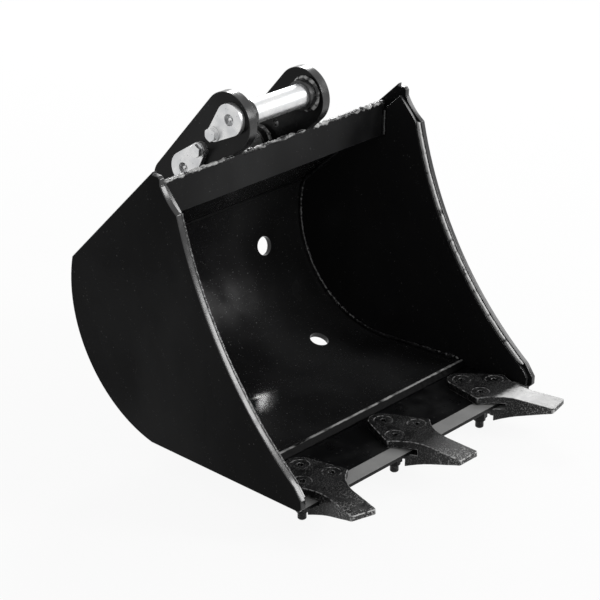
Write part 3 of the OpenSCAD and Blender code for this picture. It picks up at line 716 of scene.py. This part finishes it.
def lumpy(node, cell, lump, material=weld_paint, grow=0.08):
    """A bead. cell: size of its cells. lump: its unevenness. grow: the share of that added all over."""
    shape = copied(node)
    mesh = bpy.data.meshes.new(node + "_strip")
    shape.to_mesh(mesh)
    shape.free()
    strip = bpy.data.objects.new(node + "_strip", mesh)
    bpy.context.scene.collection.objects.link(strip)
    remesh = strip.modifiers.new("even_cells", "REMESH")
    remesh.mode, remesh.voxel_size = "VOXEL", cell
    smooth = strip.modifiers.new("no_corners", "SMOOTH")
    smooth.factor, smooth.iterations = 0.5, SMOOTHING_PASSES
    push = strip.modifiers.new("puddles", "DISPLACE")
    push.texture, push.texture_coords = clouds, "LOCAL"
    push.strength, push.mid_level = lump, 0.5 - grow
    bpy.context.view_layer.update()
    shown = strip.evaluated_get(bpy.context.evaluated_depsgraph_get())
    laid = bpy.data.meshes.new_from_object(shown)
    laid.name = node + "_laid"
    bpy.data.objects.remove(strip)
    smoothed(laid)
    laid.materials.clear()
    laid.materials.append(material)
    piece = bpy.data.objects.new(node + "_laid", laid)
    bpy.context.scene.collection.objects.link(piece)
    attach(piece, BODY[node])
    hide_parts(node)
    print(f"{node}: {len(laid.polygons)} faces")


for side, mouth_paint in (("left", weld_paint), ("right", highlighted_mouth_weld)):
    lumpy(f"weld_mouth_{side}", cell=1.1 * MM, lump=1.0 * MM, material=mouth_paint, grow=-0.1)
    lumpy(f"weld_corner_{side}", cell=1.4 * MM, lump=2.2 * MM, grow=0.5)
    lumpy(f"weld_back_{side}", cell=1.4 * MM, lump=1.2 * MM)
    lumpy(f"weld_ear_{side}", cell=1.2 * MM, lump=5.0 * MM, grow=0.35)
lumpy("weld_beam_top", cell=1.1 * MM, lump=5.0 * MM, material=highlighted_beam_and_boss_weld, grow=0.35)
lumpy("weld_beam_ends", cell=1.1 * MM, lump=1.2 * MM)
lumpy("weld_top_rear", cell=1.4 * MM, lump=1.0 * MM, material=wall_paint)
lumpy("weld_floor_seam", cell=1.3 * MM, lump=1.0 * MM, material=seam_paint, grow=-0.2)
lumpy("weld_bosses", cell=1.1 * MM, lump=1.6 * MM, material=highlighted_beam_and_boss_weld)

# %% [markdown]
# ## The studio
# The bucket was lit softly from the front right and cut out on white. The floor and the world are white
# to the camera and to reflections, but light the object only at a plain level. Black gloss paint shows
# what it mirrors, so the lamps are placed where their mirror images fall on the metal. The one at the
# front right makes the long light on the near rim of the mouth. The one behind shines on the rims of the
# ears and the tops of the teeth, and its light through a drain hole is mirrored in the floor. The one
# further round draws a line of light along the sloped top edge of the near side plate. A weak one on the
# right fills in between them.

# %% World
def white_where_seen(tree):
    """1 for camera, glossy and transmission rays"""
    path = tree.nodes.new("ShaderNodeLightPath")
    either = tree.nodes.new("ShaderNodeMath")
    either.operation = "MAXIMUM"
    tree.links.new(path.outputs["Is Camera Ray"], either.inputs[0])
    tree.links.new(path.outputs["Is Glossy Ray"], either.inputs[1])
    all_three = tree.nodes.new("ShaderNodeMath")
    all_three.operation = "MAXIMUM"
    tree.links.new(either.outputs[0], all_three.inputs[0])
    tree.links.new(path.outputs["Is Transmission Ray"], all_three.inputs[1])
    return all_three.outputs[0]


WHITE = (1, 1, 1, 1)
WORLD_LIGHT = 0.4

world = bpy.data.worlds.new("studio")
bpy.context.scene.world = world
world.use_nodes = True
tree = world.node_tree
level = tree.nodes.new("ShaderNodeMapRange")
level.inputs["To Min"].default_value = WORLD_LIGHT
level.inputs["To Max"].default_value = 1.0
tree.links.new(white_where_seen(tree), level.inputs["Value"])
tree.links.new(level.outputs[0], tree.nodes["Background"].inputs["Strength"])
tree.nodes["Background"].inputs["Color"].default_value = WHITE
print("the world is 1 where it is seen and", WORLD_LIGHT, "as light")

# %% [markdown]
# The floor is one large sheet of white paper. Where it is seen it glows nearly as bright as the world,
# so the horizon doesn't show, and a little of its own shade is left round the bucket.

# %% Floor
PAPER = (0.8, 0.8, 0.8, 1)
FLOOR_SIZE = 40
FLOOR_SEEN = 0.92

floor_mesh = bmesh.new()
bmesh.ops.create_grid(floor_mesh, x_segments=1, y_segments=1, size=FLOOR_SIZE / 2)
bmesh.ops.translate(floor_mesh, vec=(0, 0, cad_box[0][2]), verts=floor_mesh.verts)
floor_data = bpy.data.meshes.new("studio_floor")
floor_mesh.to_mesh(floor_data)
floor_mesh.free()
floor = bpy.data.objects.new("studio_floor", floor_data)
bpy.context.scene.collection.objects.link(floor)

paper = bpy.data.materials.new("white_paper_floor")
paper.use_nodes = True
tree = paper.node_tree
tree.nodes.remove(tree.nodes["Principled BSDF"])
matt = tree.nodes.new("ShaderNodeBsdfDiffuse")
matt.inputs["Color"].default_value = PAPER
glow = tree.nodes.new("ShaderNodeEmission")
blend = tree.nodes.new("ShaderNodeMixShader")
part = tree.nodes.new("ShaderNodeMath")
part.operation = "MULTIPLY"
part.inputs[1].default_value = FLOOR_SEEN
tree.links.new(white_where_seen(tree), part.inputs[0])
tree.links.new(part.outputs[0], blend.inputs[0])
tree.links.new(matt.outputs[0], blend.inputs[1])
tree.links.new(glow.outputs[0], blend.inputs[2])
tree.links.new(blend.outputs[0], tree.nodes["Material Output"].inputs["Surface"])
floor_data.materials.append(paper)
print("floor at", round(cad_box[0][2], 4), "m")

# %% [markdown]
# Each lamp is a softbox, given by its angles, its distance and its size. A mirror image shows how bright
# a lamp's face is, whatever its size, so that is what the last line prints for each.

# %% Lamps
LOOK_AT = Vector((0, -0.05, -0.2))


def lamp(name, around, above, away, wide, tall, power):
    """A softbox that looks at the bucket. Angles in degrees, sizes in metres, power in watts."""
    out = towards(around, above)
    light = bpy.data.lights.new(name, "AREA")
    light.shape, light.size, light.size_y, light.energy = "RECTANGLE", wide, tall, power
    box = bpy.data.objects.new(name, light)
    box.location = LOOK_AT + out * away
    box.rotation_mode = "QUATERNION"
    box.rotation_quaternion = (-out).to_track_quat("-Z", "Y")
    bpy.context.scene.collection.objects.link(box)
    bright = power / (math.pi * wide * tall)
    print(f"{name}: {power} W, as bright as {bright:.0f} on the scale where the paper is 1")


lamp("softbox_front_right", around=35, above=27, away=2.6, wide=0.65, tall=1.2, power=32)
lamp("softbox_right", around=72, above=22, away=3.0, wide=1.2, tall=0.9, power=12)
lamp("softbox_behind", around=128, above=28, away=3.0, wide=0.9, tall=0.7, power=36)
lamp("softbox_far_behind", around=170, above=7, away=3.2, wide=0.9, tall=0.6, power=20)
